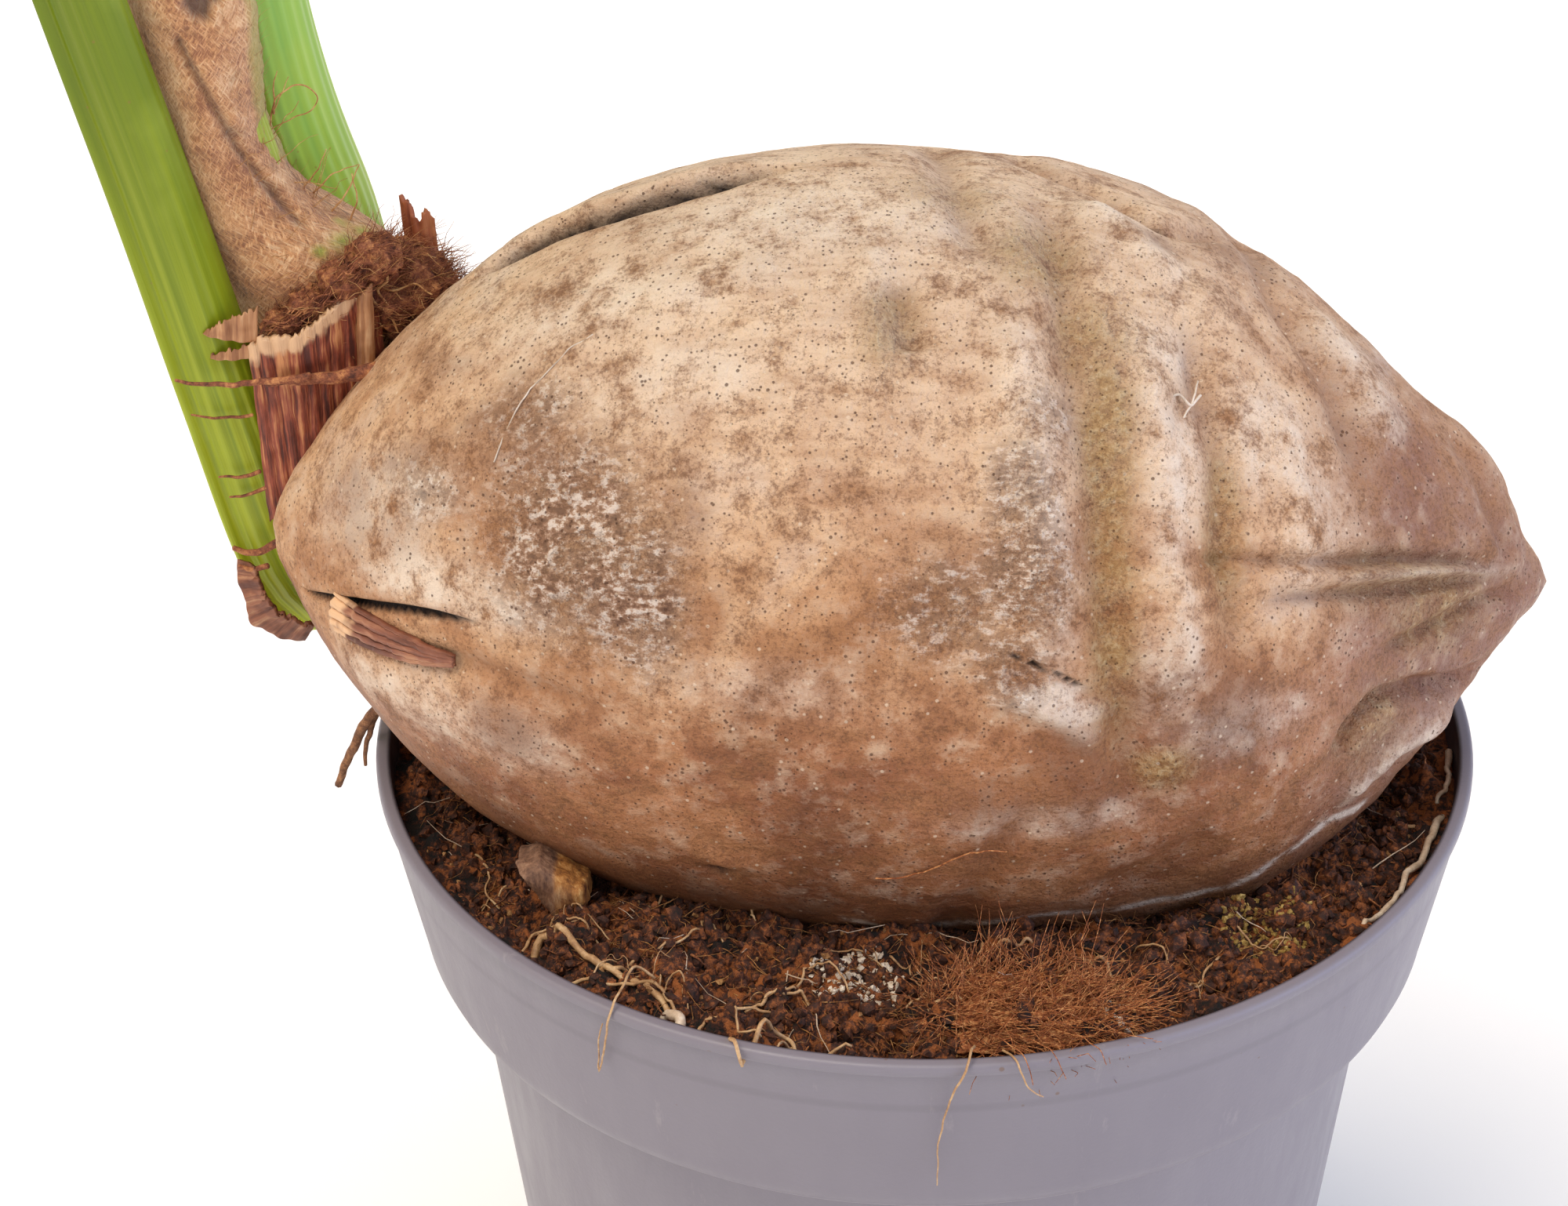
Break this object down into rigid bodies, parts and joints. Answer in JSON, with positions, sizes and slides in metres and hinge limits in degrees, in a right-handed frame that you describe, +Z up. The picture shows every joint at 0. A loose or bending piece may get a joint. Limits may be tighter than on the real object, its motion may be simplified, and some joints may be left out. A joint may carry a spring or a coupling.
{
  "type": "potted coconut palm",
  "caption": "Young coconut palm: a sprouted husk lying on potting mix in a round nursery pot, with a leaning shoot of pleated leaves.",
  "frame": {"origin": "centre of the pot's underside, on the surface that it stands on", "axes": "+Z up; +X from the coconut's stalk end, where the shoot grows, towards its pointed end; +Y to the back"},
  "size_m": [0.6075, 0.6095, 1.05],
  "materials": {
    "pot_plastic": "injection-moulded grey polypropylene, slightly glossy",
    "potting_mix": null,
    "husk": "dry, weathered coconut husk skin, dull",
    "stem_green": "living pale green stem, satin",
    "leaf_green": "living green leaf, satin",
    "sheath_fibre": "woven brown leaf-base fibre, dull",
    "scale_brown": "dry papery scale leaves, dull",
    "root_tan": "dry tan roots and coir, dull"
  },
  "bodies": {
    "root": {"plant_pot": "pot_plastic", "potting_mix": "potting_mix", "coconut": "husk", "shoot_stem": "stem_green", "leaf_1": "leaf_green", "leaf_2": "leaf_green", "leaf_3": "leaf_green", "leaf_4": "leaf_green", "spear_leaf": "leaf_green", "fibre_sheath": "sheath_fibre", "cut_scale_leaf": "scale_brown", "bract_flap": "scale_brown", "fibre_fringe": "scale_brown", "upright_scale": "scale_brown", "husk_wedge": "scale_brown", "husk_chip": "husk", "surface_root": "root_tan", "root_stub": "root_tan", "coir_tuft": "root_tan"}
  },
  "joints": []
}
